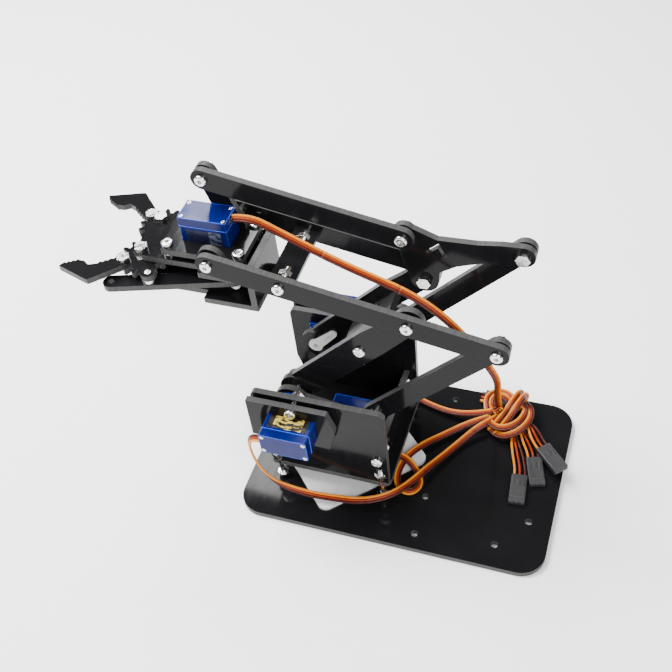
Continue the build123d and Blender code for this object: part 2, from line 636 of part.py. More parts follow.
lead_z = sheet + lead_r + 0.1
over_z = lead_z + lead_d + 0.2
routes = {
    "lead_left": [
        (25.4, 43.0, 55.2), (30.2, 42.4, 52.0), (31.6, 41.4, 44.0), (31.0, 40.4, 33.0),
        (27.6, 39.6, 22.0), (20.6, 38.6, 13.6), (8.6, 37.4, 9.4), (-5.0, 36.2, over_z),
        (-18.0, 34.6, over_z), (-29.5, 28.8, over_z), (-37.6, 19.6, 9.2), (-43.6, 8.6, 9.2),
        (-48.8, -2.0, 6.0), (-54.6, -12.4, lead_z), (-61.0, -21.6, 7.0),
    ],
    "lead_right": [
        (25.4, -46.0, 55.2), (30.2, -45.8, 52.0), (31.6, -45.4, 44.0), (30.6, -45.0, 33.0),
        (26.0, -44.6, 22.0), (17.4, -44.2, 12.6), (5.0, -43.6, 7.4), (-9.0, -42.2, lead_z),
        (-23.0, -38.0, lead_z), (-36.0, -33.4, lead_z), (-47.8, -30.6, 6.0), (-60.0, -31.0, 8.0),
    ],
    "lead_yaw": [
        (7.6, 0.0, 34.4), (12.4, 1.6, 37.0), (11.6, 5.4, 41.0), (4.4, 9.0, 42.4),
        (-6.0, 12.0, 39.0), (-14.6, 13.6, 31.0), (-19.0, 13.4, 20.0), (-20.8, 11.0, 12.4),
        (-25.4, 5.0, 10.8), (-33.0, 5.6, 10.4), (-40.2, 10.4, 5.0), (-42.4, 17.4, lead_z),
        (-37.6, 22.4, lead_z), (-31.6, 19.8, 5.4), (-29.6, 12.0, 6.5), (-31.4, 2.6, 6.5),
        (-37.6, -7.0, 6.6), (-46.6, -16.6, lead_z), (-57.6, -25.4, 6.2),
    ],
    "lead_gripper_1": [
        (41.6, -8.0, 141.2), (34.0, -7.6, 141.4), (25.0, -6.6, 139.4), (14.0, -5.4, 135.4),
        (2.0, -4.4, 130.8),
    ],
    "lead_gripper_2": [
        (1.2, -4.3, 130.5), (-11.0, -3.4, 126.2), (-23.0, -2.4, 122.8), (-33.6, -1.6, 119.4),
    ],
    "lead_gripper_3": [
        (-34.4, -1.5, 119.1), (-43.0, -0.8, 115.0), (-51.0, -0.4, 109.2), (-57.4, -0.6, 102.2),
    ],
    "lead_gripper_4": [
        (-57.9, -0.7, 101.5), (-63.0, -2.4, 92.4), (-66.8, -5.6, 82.0), (-69.2, -9.8, 71.6),
    ],
    "lead_gripper_5": [
        (-69.4, -10.2, 70.7), (-71.2, -15.0, 60.0), (-71.6, -20.6, 48.6), (-70.8, -26.0, 37.2),
        (-69.8, -31.4, 25.4),
    ],
}
for name, points in routes.items():
    parts[name] = cord(points)

# Knot in the leads and the plugs at their ends
knot = Pos(-76.0, -32.6, 10.5) * Rot(0, 0, 28) * scale(Sphere(1), (15.0, 11.5, 7.2))
parts["lead_knot"] = knot


def plug():
    """Three-way housing along +X, flat on z 0, with its three sockets in the far end."""
    body = Box(plug_size[0], plug_size[1], plug_size[2], align=(Align.MIN, Align.CENTER, Align.MIN))
    body = fillet(body.edges().filter_by(Axis.X), 0.3)
    for k in (-1, 0, 1):
        body -= Pos(plug_size[0], 2.54 * k, plug_size[2] / 2) * Box(6.0, 1.0, 1.0)
    return body


plug_spots = [
    (-92.2, -13.4, sheet + 0.05, 107),
    (-87.6, -1.5, sheet + 0.05, 95),
    (-95.5, -19.0, sheet + plug_size[2] + 0.1, 134),
    (-61.0, -46.1, sheet + 0.05, 180),
]
parts["lead_plugs"] = group([Pos(x, y, z) * Rot(0, 0, turn) * plug() for x, y, z, turn in plug_spots])

for name, shape in parts.items():
    export_step(shape, "parts/" + name + ".step")
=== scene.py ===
import math

import bmesh
import bpy
import numpy as np
from mathutils import Matrix, Vector


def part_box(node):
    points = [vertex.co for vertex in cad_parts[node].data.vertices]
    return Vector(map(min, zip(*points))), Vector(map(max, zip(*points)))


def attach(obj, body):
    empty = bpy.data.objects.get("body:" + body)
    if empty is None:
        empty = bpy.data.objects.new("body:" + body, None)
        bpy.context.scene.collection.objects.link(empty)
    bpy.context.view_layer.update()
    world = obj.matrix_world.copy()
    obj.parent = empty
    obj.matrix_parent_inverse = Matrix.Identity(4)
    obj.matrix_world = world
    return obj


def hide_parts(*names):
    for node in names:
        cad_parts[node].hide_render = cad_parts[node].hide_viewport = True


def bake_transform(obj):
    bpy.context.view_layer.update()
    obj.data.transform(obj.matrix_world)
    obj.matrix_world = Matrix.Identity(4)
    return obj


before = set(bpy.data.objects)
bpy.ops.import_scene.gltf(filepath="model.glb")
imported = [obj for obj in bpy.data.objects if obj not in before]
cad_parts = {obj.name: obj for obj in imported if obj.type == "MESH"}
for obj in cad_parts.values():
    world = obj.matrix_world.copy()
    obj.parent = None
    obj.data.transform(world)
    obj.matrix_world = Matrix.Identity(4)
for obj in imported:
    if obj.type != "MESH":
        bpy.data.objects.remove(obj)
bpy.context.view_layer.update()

MM = 0.001
WIRE_RADIUS = 0.62
WIRE_PITCH = 1.18
PIN_PITCH = 2.54
# spacing of the points along a lead and along the knot's strands, in metres
LEAD_STEP = 0.0012
STRAND_STEP = 0.0008
collection = bpy.context.scene.collection


# ---------------------------------------------------------------- camera

def add_camera():
    """A 52.8 mm lens above the arm's left side, a little behind it and slightly rolled."""
    azimuth, elevation, roll = (math.radians(a) for a in (113.73, 46.77, -7.73))
    toward = Vector((math.cos(elevation) * math.cos(azimuth),
                     math.cos(elevation) * math.sin(azimuth), math.sin(elevation)))
    right = (-toward).cross(Vector((0, 0, 1))).normalized()
    up = right.cross(-toward)
    x_axis = right * math.cos(roll) + up * math.sin(roll)
    y_axis = up * math.cos(roll) - right * math.sin(roll)
    data = bpy.data.cameras.new("camera")
    data.lens = 52.77
    data.sensor_width = 36.0
    data.clip_start = 0.01
    camera = bpy.data.objects.new("camera", data)
    collection.objects.link(camera)
    turn = Matrix((x_axis, y_axis, toward)).transposed().to_4x4()
    camera.matrix_world = Matrix.Translation(Vector((-123.9, 279.2, 409.9)) * MM) @ turn
    bpy.context.scene.camera = camera


add_camera()


# ---------------------------------------------------------------- materials

class Nodes:
    """A material's node tree, with short calls to add and join its nodes."""

    def __init__(self, name):
        self.material = bpy.data.materials.new(name)
        self.material.use_nodes = True
        self.tree = self.material.node_tree
        self.shader = self.tree.nodes["Principled BSDF"]
        self.coords = self.add("ShaderNodeTexCoord")

    def add(self, kind, **values):
        node = self.tree.nodes.new(kind)
        for key, value in values.items():
            if hasattr(node, key):
                setattr(node, key, value)
            else:
                node.inputs[key.replace("_", " ")].default_value = value
        return node

    def join(self, source, target):
        self.tree.links.new(source, target)

    def set(self, name, value):
        if isinstance(value, bpy.types.NodeSocket):
            self.join(value, self.shader.inputs[name])
        else:
            self.shader.inputs[name].default_value = value

    def math(self, operation, a, b=0.0, c=0.0):
        node = self.add("ShaderNodeMath", operation=operation)
        for socket, value in zip(node.inputs, (a, b, c)):
            if isinstance(value, bpy.types.NodeSocket):
                self.join(value, socket)
            else:
                socket.default_value = value
        return node.outputs[0]

    def span(self, value, low, high, to_low=0.0, to_high=1.0):
        node = self.add("ShaderNodeMapRange", interpolation_type="SMOOTHSTEP")
        self.join(value, node.inputs[0])
        for socket, number in zip(node.inputs[1:5], (low, high, to_low, to_high)):
            socket.default_value = number
        return node.outputs[0]

    def noise(self, scale, stretch=(1, 1, 1), detail=3.0, roughness=0.5):
        mapping = self.add("ShaderNodeMapping")
        mapping.inputs["Scale"].default_value = stretch
        self.join(self.coords.outputs["Object"], mapping.inputs["Vector"])
        node = self.add("ShaderNodeTexNoise", Scale=scale, Detail=detail, Roughness=roughness)
        self.join(mapping.outputs[0], node.inputs["Vector"])
        return node.outputs["Fac"]

    def mix(self, factor, a, b):
        node = self.add("ShaderNodeMix", data_type="RGBA")
        colours = [s for s in node.inputs if s.type == "RGBA"]
        for socket, value in ((node.inputs[0], factor), (colours[0], a), (colours[1], b)):
            if isinstance(value, bpy.types.NodeSocket):
                self.join(value, socket)
            elif socket.type == "RGBA":
                socket.default_value = (*value, 1.0)
            else:
                socket.default_value = value
        return [s for s in node.outputs if s.type == "RGBA"][0]

    def axis(self, output, index):
        node = self.add("ShaderNodeSeparateXYZ")
        self.join(self.coords.outputs[output], node.inputs[0])
        return node.outputs[index]

    def bump(self, height, strength, distance, radius=None):
        node = self.add("ShaderNodeBump", Strength=strength, Distance=distance)
        self.join(height, node.inputs["Height"])
        if radius:
            rounded = self.add("ShaderNodeBevel", samples=4, Radius=radius)
            self.join(rounded.outputs[0], node.inputs["Normal"])
        self.join(node.outputs[0], self.shader.inputs["Normal"])

    def painted_highlight_mask(self, radius):
        """1 along the sharp edges of the mesh, 0 away from them: the mask for painted edge highlights and glow.
        """
        rounded = self.add("ShaderNodeBevel", samples=4, Radius=radius)
        geometry = self.add("ShaderNodeNewGeometry")
        dot = self.add("ShaderNodeVectorMath", operation="DOT_PRODUCT")
        self.join(rounded.outputs[0], dot.inputs[0])
        self.join(geometry.outputs["Normal"], dot.inputs[1])
        return self.span(dot.outputs["Value"], 0.998, 0.9)


def acrylic(axis):
    """Glossy black sheet: polished faces across the axis, matt grey cut edges with striations."""
    m = Nodes("acrylic_" + "xyz"[axis])
    facing = m.math("ABSOLUTE", m.axis("Normal", axis))
    edge = m.span(facing, 0.9, 0.4)
    stretch = [1.0, 1.0, 1.0]
    stretch[axis] = 0.04
    striae = m.noise(2600.0, stretch, 2.0)
    cloud = m.noise(38.0, detail=5.0)
    scratch = m.noise(420.0, (1.0, 0.12, 0.3), 6.0, 0.75)
    face_colour = m.mix(cloud, (0.0035, 0.0035, 0.004), (0.008, 0.008, 0.009))
    cut_colour = m.mix(striae, (0.022, 0.022, 0.023), (0.075, 0.074, 0.072))
    m.set("Base Color", m.mix(edge, face_colour, cut_colour))
    polish = m.span(scratch, 0.45, 0.8, 0.07, 0.2)
    haze = m.math("MULTIPLY_ADD", cloud, 0.06, polish)
    m.set("Roughness", m.math("MULTIPLY_ADD", edge, 0.26, haze))
    m.set("IOR", 1.49)
    m.set("Specular IOR Level", 0.11)
    relief = m.math("MULTIPLY", striae, edge)
    fine = m.math("MULTIPLY_ADD", scratch, 0.05, relief)
    m.bump(fine, 0.35, 0.00012, 0.00022)
    return m.material


def servo_blue():
    """Translucent royal blue moulding, with a painted highlight and a painted glow along its sharp corners."""
    m = Nodes("servo_blue")
    corner = m.painted_highlight_mask(0.0007)
    cloud = m.noise(90.0, detail=4.0)
    grain = m.noise(1500.0, detail=2.0)
    deep = m.mix(cloud, (0.001, 0.003, 0.06), (0.002, 0.009, 0.14))
    # painted highlight: the sharp corners are mixed towards a bright blue
    m.set("Base Color", m.mix(m.math("MULTIPLY", corner, 0.8), deep, (0.05, 0.16, 0.9)))
    m.set("Roughness", m.span(cloud, 0.3, 0.7, 0.12, 0.26))
    m.set("IOR", 1.5)
    m.set("Transmission Weight", 0.22)
    m.set("Specular IOR Level", 0.08)
    # painted glow: the sharp corners emit blue light, though the case is no lamp
    m.set("Emission Color", (0.01, 0.03, 0.5, 1.0))
    m.set("Emission Strength", m.math("MULTIPLY", corner, 0.5))
    m.bump(grain, 0.12, 0.00005, 0.0003)
    return m.material


def nylon():
    m = Nodes("white_nylon")
    cloud = m.noise(160.0, detail=4.0)
    grain = m.noise(2400.0, detail=3.0)
    m.set("Base Color", m.mix(cloud, (0.70, 0.70, 0.68), (0.84, 0.84, 0.82)))
    m.set("Roughness", m.span(cloud, 0.3, 0.7, 0.34, 0.5))
    m.set("Subsurface Weight", 0.2)
    m.set("Subsurface Radius", (0.002, 0.002, 0.0018))
    m.bump(grain, 0.15, 0.00006, 0.0002)
    return m.material


def plated_steel():
    """Bright nickel plate with turning marks and a few darker specks in the plating."""
    m = Nodes("plated_steel")
    cloud = m.noise(520.0, detail=4.0)
    speck = m.span(m.noise(1700.0, detail=2.0), 0.62, 0.72)
    bright = m.mix(cloud, (0.62, 0.61, 0.59), (0.88, 0.87, 0.85))
    m.set("Base Color", m.mix(m.math("MULTIPLY", speck, 0.45), bright, (0.30, 0.28, 0.26)))
    m.set("Metallic", 1.0)
    m.set("Roughness", m.span(cloud, 0.3, 0.7, 0.14, 0.3))
    m.bump(cloud, 0.1, 0.00005, 0.00018)
    return m.material


def bare_plate():
    """Bright rolled sheet metal, brushed one way."""
    m = Nodes("bare_plate")
    brushed = m.noise(700.0, (1.0, 0.03, 1.0), 5.0, 0.7)
    cloud = m.noise(45.0, detail=4.0)
    bright = m.mix(brushed, (0.80, 0.81, 0.83), (0.95, 0.95, 0.96))
    m.set("Base Color", m.mix(m.span(cloud, 0.55, 0.8, 0.0, 0.25), bright, (0.66, 0.67, 0.69)))
    m.set("Metallic", 0.3)
    m.set("Roughness", m.span(brushed, 0.3, 0.7, 0.3, 0.48))
    m.bump(brushed, 0.12, 0.00005, 0.0002)
    return m.material


def insulation(name, dark, light):
    """Soft extruded wire cover, slightly uneven in tone, with faint drawing marks."""
    m = Nodes(name)
    cloud = m.noise(120.0, detail=4.0)
    grain = m.noise(2600.0, detail=2.0)
    m.set("Base Color", m.mix(cloud, dark, light))
    m.set("Roughness", m.span(cloud, 0.3, 0.7, 0.26, 0.42))
    m.set("Specular IOR Level", 0.2)
    m.set("Subsurface Weight", 0.06)
    m.set("Subsurface Radius", (0.0012, 0.0006, 0.0003))
    m.bump(grain, 0.2, 0.00005)
    return m.material


def plug_grey():
    m = Nodes("plug_grey")
    grain = m.noise(2100.0, detail=4.0)
    cloud = m.noise(210.0, detail=3.0)
    corner = m.painted_highlight_mask(0.0003)
    base = m.mix(cloud, (0.010, 0.010, 0.011), (0.020, 0.020, 0.022))
    # painted highlight: the sharp edges are mixed towards a lighter grey
    m.set("Base Color", m.mix(m.math("MULTIPLY", corner, 0.5), base, (0.07, 0.07, 0.073)))
    m.set("Roughness", m.span(cloud, 0.3, 0.7, 0.38, 0.56))
    m.bump(grain, 0.3, 0.00006, 0.00015)
    return m.material


def sticker(name, ground, band, low, high, axis):
    """Foil sticker: a plain ground with a band of flecks across it, no lettering."""
    m = Nodes(name)
    place = m.axis("Object", axis)
    inside = m.math("MULTIPLY", m.span(place, low, low + 0.0003), m.span(place, high, high - 0.0003))
    flecks = m.span(m.noise(620.0, (0.45, 1.6, 1.6), 3.0), 0.47, 0.56)
    inside = m.math("MULTIPLY", inside, flecks)
    crease_and_shade = m.noise(260.0, detail=5.0)
    # painted shade: the ground is darker in the dents of the crease relief
    base = m.mix(crease_and_shade, [0.75 * c for c in ground], ground)
    m.set("Base Color", m.mix(inside, base, band))
    m.set("Metallic", 0.35)
    m.set("Roughness", m.span(crease_and_shade, 0.3, 0.7, 0.2, 0.38))
    m.bump(crease_and_shade, 0.25, 0.00008)
    return m.material


SHEETS = [acrylic(axis) for axis in range(3)]
BLUE = servo_blue()
NYLON = nylon()
STEEL = plated_steel()
PLATE = bare_plate()
BROWN = insulation("wire_brown", (0.035, 0.006, 0.005), (0.075, 0.014, 0.009))
RED = insulation("wire_red", (0.16, 0.012, 0.002), (0.30, 0.034, 0.003))
YELLOW = insulation("wire_yellow", (0.48, 0.13, 0.004), (0.68, 0.25, 0.014))
GREY = plug_grey()
WIRES = (YELLOW, RED, BROWN)


def finish_nodes():
    """Gives every CAD node the material it is made of. A sheet gets the one for its thin axis."""
    for name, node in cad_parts.items():
        low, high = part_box(name)
        if name.endswith("_servo_case"):
            material = BLUE
        elif name.endswith("_horn"):
            material = NYLON
        elif name == "swivel_plate":
            material = PLATE
        elif name.endswith(("_fasteners", "_shaft", "_link_pivot")) or "_screw" in name:
            material = STEEL
        elif name.startswith("lead_"):
            material = GREY
        else:
            size = high - low
            material = SHEETS[min(range(3), key=lambda k: size[k])]
        node.data.materials.clear()
        node.data.materials.append(material)


finish_nodes()


# ---------------------------------------------------------------- leads

def route_line(name, points):
    """The points along a NURBS spline whose control points are the route's."""
    curve = bpy.data.curves.new(name, "CURVE")
    curve.dimensions = "3D"
    curve.resolution_u = 10
    spline = curve.splines.new("NURBS")
    spline.points.add(len(points) - 1)
    for point, place in zip(spline.points, points):
        point.co = (*(value * MM for value in place), 1.0)
    spline.order_u = 3
    spline.use_endpoint_u = True
    holder = bpy.data.objects.new(name, curve)
    mesh = bpy.data.meshes.new_from_object(holder)
    line = np.array([v.co for v in mesh.vertices])
    bpy.data.objects.remove(holder)
    bpy.data.meshes.remove(mesh)
    return line


def even(line, step):
    """The same line with its points evenly spaced."""
    gaps = np.linalg.norm(np.diff(line, axis=0), axis=1)
    along = np.concatenate([[0], np.cumsum(gaps)])
    count = max(4, int(round(along[-1] / step)) + 1)
    wanted = np.linspace(0, along[-1], count)
    return np.stack([np.interp(wanted, along, line[:, k]) for k in range(3)], axis=1)


def unit(rows):
    """Each row scaled to length 1."""
    return rows / np.maximum(np.linalg.norm(rows, axis=-1, keepdims=True), 1e-12)


def flat_sides(line, faces):
    """The ribbon's width direction at each point, so that its flat side looks along faces."""
    tangents = unit(np.gradient(line, axis=0))
    steps = np.linspace(0, 1, len(line))
    stations = np.linspace(0, 1, len(faces))
    looks = np.stack([np.interp(steps, stations, [f[k] for f in faces]) for k in range(3)], axis=1)
    return unit(np.cross(tangents, looks)), tangents


def tube(bm, line, side, across, radius, slot, sides=10):
    """A closed round tube along line. side and across span its section."""
    rings = []
    for point, a, b in zip(line, side, across):
        ring = []
        for k in range(sides):
            turn = 2 * math.pi * k / sides
            ring.append(bm.verts.new(point + radius * (math.cos(turn) * a + math.sin(turn) * b)))
        rings.append(ring)
    for one, two in zip(rings, rings[1:]):
        for k in range(sides):
            face = bm.faces.new((one[k], one[(k + 1) % sides], two[(k + 1) % sides], two[k]))
            face.material_index = slot
            face.smooth = True
    for ring in (rings[0][::-1], rings[-1]):
        bm.faces.new(ring).material_index = slot


def new_piece(name, bm, materials):
    mesh = bpy.data.meshes.new(name)
    bmesh.ops.recalc_face_normals(bm, faces=bm.faces)
    bm.to_mesh(mesh)
    bm.free()
    for material in materials:
        mesh.materials.append(material)
    piece = bpy.data.objects.new(name, mesh)
    collection.objects.link(piece)
    return piece


def add_ribbon(bm, line, side, tangents):
    """Three wires side by side along line."""
    across = unit(np.cross(side, tangents))
    for k in range(3):
        offset = side * (k - 1) * WIRE_PITCH * MM
        tube(bm, line + offset, side, across, WIRE_RADIUS * MM, k)


def add_wire(bm, points, slot):
    line = even(route_line("strand", points), STRAND_STEP)
    side, tangents = flat_sides(line, [(0.2, 0.4, 1.0)])
    tube(bm, line, side, unit(np.cross(side, tangents)), WIRE_RADIUS * MM, slot, 8)


def lead(name, line, side, tangents):
    """A ribbon piece along line that stands for the CAD node called name."""
    bm = bmesh.new()
    add_ribbon(bm, line, side, tangents)
    piece = new_piece(name + "_ribbon", bm, WIRES)
    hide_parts(name)
    return piece


# each lead's control points in millimetres, from its servo to the knot
SERVO_ROUTES = {
    "lead_left": [
        (23.6, 43.4, 56.6), (27.6, 43.0, 56.0), (30.6, 42.4, 51.6), (31.6, 41.4, 44.0), (31.0, 40.4, 33.0),
        (27.6, 39.6, 22.0), (20.6, 38.6, 13.6), (8.6, 37.4, 9.4), (-5.0, 36.2, 8.7), (-18.0, 34.6, 8.7),
        (-29.5, 28.8, 8.7), (-37.6, 19.6, 9.2), (-43.6, 8.6, 9.2), (-48.8, -2.0, 6.6), (-54.6, -12.4, 5.8),
        (-61.0, -21.6, 7.8), (-66.4, -26.6, 9.4), (-70.4, -31.6, 8.4)],
    "lead_right": [
        (23.6, -46.2, 56.6), (27.6, -46.0, 56.0), (30.6, -45.8, 51.6), (31.6, -45.4, 44.0), (30.6, -45.0, 33.0),
        (26.0, -44.6, 22.0), (17.4, -44.2, 12.6), (5.0, -43.6, 7.4), (-9.0, -42.2, 4.9), (-23.0, -38.0, 4.9),
        (-36.0, -33.4, 4.9), (-47.8, -30.6, 6.0), (-60.0, -31.6, 8.0), (-67.4, -34.6, 8.6)],
    "lead_yaw": [
        (7.6, 0.0, 34.4), (12.4, 1.6, 37.0), (11.6, 5.4, 41.0), (4.4, 9.0, 42.4), (-6.0, 12.0, 39.0),
        (-14.6, 13.6, 31.0), (-19.0, 13.4, 20.0), (-20.8, 11.0, 12.4), (-25.4, 5.0, 10.8), (-33.0, 5.6, 10.4),
        (-40.2, 10.4, 5.6), (-42.4, 17.4, 5.2), (-37.6, 22.4, 5.2), (-31.6, 19.8, 6.2), (-29.6, 12.0, 6.8),
        (-31.4, 2.6, 6.8), (-37.6, -7.0, 6.8), (-46.6, -16.6, 5.4), (-57.0, -25.6, 7.0), (-66.2, -30.6, 8.2)],
}
# which way each lead's flat side looks, at even steps along it
SERVO_FACES = {
    "lead_left": [(0.8, 0.5, 0.4), (0.6, 0.7, 0.5), (0.1, 0.7, 0.9), (-0.1, 0.5, 1.0), (-0.2, 0.4, 1.0)],
    "lead_right": [(0.8, -0.5, 0.4), (0.6, -0.6, 0.5), (0.1, -0.2, 1.0), (0.0, 0.2, 1.0)],
    "lead_yaw": [(0.3, -0.3, 0.9), (0.0, 0.5, 0.9), (-0.7, 0.5, 0.4), (-0.3, 0.5, 0.9), (0.0, 0.3, 1.0),
                 (0.0, 0.3, 1.0)],
}
GRIPPER_ROUTE = [
    (43.0, -8.0, 140.6), (38.0, -7.8, 141.8), (31.0, -7.4, 141.4), (25.0, -6.6, 139.4), (14.0, -5.4, 135.4),
    (2.0, -4.4, 130.8), (-11.0, -3.4, 126.2), (-23.0, -2.4, 122.8), (-33.8, -1.6, 119.4), (-43.0, -0.8, 115.0),
    (-51.0, -0.4, 109.2), (-57.6, -0.6, 101.8), (-63.0, -2.4, 92.4), (-66.8, -5.6, 82.0), (-69.3, -10.0, 71.0),
    (-71.2, -15.0, 60.0), (-71.6, -20.6, 48.6), (-70.8, -26.0, 37.2), (-70.0, -30.8, 24.0), (-70.4, -34.0, 14.0)]
GRIPPER_FACES = [(-0.2, 0.7, 0.7), (-0.25, 0.75, 0.6), (-0.3, 0.7, 0.6), (-0.4, 0.7, 0.3),
                 (-0.5, 0.8, 0.2), (-0.4, 0.9, 0.2)]
# where one stretch ends and the next begins, and the two bodies that each stretch runs between
GRIPPER_JOINS = [(1.6, -4.4, 130.7), (-32.2, -1.7, 119.9), (-58.6, -0.9, 100.2), (-69.3, -10.0, 71.2)]
GRIPPER_BODIES = [("gripper", "forearm"), ("forearm", "level_triangle"), ("level_triangle", "upper_arm"),
                  ("upper_arm", "turntable"), ("turntable", "base")]


def add_servo_leads():
    for name, points in SERVO_ROUTES.items():
        line = even(route_line(name, points), LEAD_STEP)
        piece = lead(name, line, *flat_sides(line, SERVO_FACES[name]))
        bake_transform(piece)


def add_gripper_lead():
    line = even(route_line("gripper_lead", GRIPPER_ROUTE), LEAD_STEP)
    cuts = [int(np.argmin(np.linalg.norm(line - np.array(j) * MM, axis=1))) for j in GRIPPER_JOINS]
    ends = [0, *cuts, len(line) - 1]
    side, tangents = flat_sides(line, GRIPPER_FACES)
    for k, (a, b) in enumerate(GRIPPER_BODIES):
        stretch = slice(ends[k], ends[k + 1] + 1)
        part = line[stretch]
        piece = lead(f"lead_gripper_{k + 1}", part, side[stretch], tangents[stretch])
        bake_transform(piece)


# the knot's ribbons: two nested rings, two loops beside them and two bands over all four
KNOT_RIBBONS = [
    [(-70.4, -37.2, 9.0), (-66.1, -33.4, 7.4), (-63.9, -36.4, 7.6), (-62.4, -43.0, 8.6), (-66.5, -47.4, 9.6),
     (-72.9, -46.7, 10.4), (-77.6, -41.9, 10.8), (-77.5, -34.5, 9.6), (-73.0, -30.0, 7.4)],
    [(-71.1, -34.0, 6.6), (-66.6, -36.3, 9.4), (-65.6, -41.3, 10.6), (-69.0, -43.7, 11.4), (-73.4, -42.5, 11.6),
     (-75.8, -38.1, 9.6), (-74.0, -33.0, 7.0)],
    [(-66.0, -29.0, 5.4), (-69.3, -23.5, 5.8), (-75.5, -20.6, 7.6), (-81.9, -22.8, 10.4), (-86.4, -28.3, 12.4),
     (-87.0, -36.4, 11.4), (-83.0, -43.6, 8.4), (-76.0, -45.0, 6.4)],
    [(-65.0, -31.0, 8.0), (-68.4, -24.9, 9.0), (-75.1, -23.1, 11.0), (-81.3, -26.3, 13.2), (-84.0, -32.4, 13.8),
     (-83.2, -39.3, 11.2), (-79.6, -43.0, 8.6)],
    [(-68.0, -24.0, 5.4), (-71.0, -27.0, 9.6), (-74.2, -31.3, 13.4), (-76.8, -37.4, 16.2), (-78.8, -44.1, 15.6),
     (-79.6, -48.4, 10.6), (-78.0, -46.0, 6.4), (-74.0, -40.0, 5.4)],
    [(-71.4, -22.6, 5.6), (-74.4, -25.0, 10.4), (-77.4, -29.4, 14.6), (-79.8, -35.6, 16.8), (-81.6, -42.8, 15.4),
     (-82.2, -47.6, 10.4), (-80.6, -45.0, 6.4), (-76.0, -38.0, 5.4)],
]
KNOT_FACES = [(-0.28, 0.63, 0.73), (-0.4, 0.5, 0.8), (-0.28, 0.63, 0.73)]
# each plug's wire end and the way it points, in degrees from +X
PLUGS = [((-92.2, -13.4, 3.05), 107), ((-87.6, -1.5, 3.05), 95), ((-95.5, -19.0, 6.1), 134),
         ((-61.0, -46.1, 3.05), 180)]
PLUG_SIZE = (16.0, 7.6, 3.0)
KNOT_CENTRE = (-76.0, -32.6, 9.0)
# where each plug's three wires leave the knot
TAIL_STARTS = [(-84.4, -26.0, 7.2), (-80.4, -23.4, 5.6), (-87.0, -29.6, 9.6), (-70.0, -41.6, 5.4)]


def add_knot():
    """The tangle of ribbons, with each plug's three wires fanning out to it."""
    bm = bmesh.new()
    for points in KNOT_RIBBONS:
        line = even(route_line("turn", points), STRAND_STEP)
        add_ribbon(bm, line, *flat_sides(line, KNOT_FACES))
    for (place, turn), start in zip(PLUGS, TAIL_STARTS):
        angle = math.radians(turn)
        ahead = Vector((math.cos(angle), math.sin(angle), 0))
        beside = Vector((-math.sin(angle), math.cos(angle), 0))
        seat = Vector(place) + Vector((0, 0, PLUG_SIZE[2] / 2))
        inner = Vector(start).lerp(Vector(KNOT_CENTRE), 0.35)
        for wire in range(3):
            out = beside * (wire - 1)
            end = seat + out * PIN_PITCH + ahead * 0.5
            near = end - ahead * 4.0
            begin = Vector(start) + out * 1.3
            middle = (begin + near) / 2 + Vector((0, 0, 0.6)) + out * 0.5
            add_wire(bm, [tuple(spot) for spot in (inner, begin, middle, near, end)], wire)
    piece = new_piece("knot_strands", bm, WIRES)
    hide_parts("lead_knot")
    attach(piece, "base")
    return piece


def add_plugs():
    """Three-way housings with a stepped mouth and ribs."""
    length, width, height = PLUG_SIZE
    for number, (place, turn) in enumerate(PLUGS, 1):
        bm = bmesh.new()

        def block(low, high):
            made = bmesh.ops.create_cube(bm, size=1.0)["verts"]
            for v in made:
                for k in range(3):
                    v.co[k] = (low[k] + high[k]) / 2 + v.co[k] * (high[k] - low[k])

        half = width / 2
        block((0, -half, 0.1), (length, half, height - 0.1))
        block((0.6, -half + 0.35, 0.0), (length - 3.0, half - 0.35, height))
        for pin in (-PIN_PITCH, 0, PIN_PITCH):
            block((3.0, pin - 0.75, height - 0.05), (7.0, pin + 0.75, height + 0.22))
            block((length - 0.1, pin - 0.9, 0.6), (length + 0.25, pin + 0.9, height - 0.6))
        bmesh.ops.scale(bm, vec=(MM, MM, MM), verts=bm.verts)
        piece = new_piece(f"plug_{number}", bm, [GREY])
        piece.matrix_world = Matrix.Translation(Vector(place) * MM) @ Matrix.Rotation(math.radians(turn), 4, "Z")
        bevel = piece.modifiers.new("edges", "BEVEL")
        bevel.width = 0.00016
        bevel.segments = 2
        if number == 1:
            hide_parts("lead_plugs")
        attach(piece, "base")


knot_piece = add_knot()
add_servo_leads()
add_gripper_lead()
add_plugs()


# ---------------------------------------------------------------- servo details

CORNERS = ((1, 1), (-1, 1), (-1, -1), (1, -1))
SEAM_BAR = 0.6
SEAM_PROUD = 0.22
SEAM_CORNER = 0.9
STICKER_CORNER = 0.8
STICKER_THICK = 0.12
# a servo body's length, and its two seams by their distance from its end
SERVO_LENGTH = 22.8
SERVO_SEAMS = (("back", 4.6), ("front", 15.2))
# where a side servo's body starts and ends along X, and the gripper servo's
SIDE_SPAN = (0.6, 23.4)
GRIPPER_SPAN = (43.8, 66.6)
SCREW_REACH = (9.9, 4.6)
SCREW_SIDES = 24
SCREW_SLOT = 0.3
# a case screw's rings: radius and height above the case
SCREW_RINGS = ((1.0, -0.05), (1.0, 0.05), (0.75, 0.22), (0.42, 0.26))


def rounded(size, radius, steps, inset=0.0):
    """The corner points of a rounded rectangle, going round once."""
    for corner, (sx, sy) in enumerate(CORNERS):
        for step in range(steps + 1):
            turn = math.pi / 2 * (corner + step / steps)
            yield (sx * (size[0] / 2 - radius) + (radius - inset) * math.cos(turn),
                   sy * (size[1] / 2 - radius) + (radius - inset) * math.sin(turn))


def join_rings(bm, one, two, smooth=False):
    count = len(one)
    for k in range(count):
        face = bm.faces.new((one[k], one[(k + 1) % count], two[(k + 1) % count], two[k]))
        face.smooth = smooth


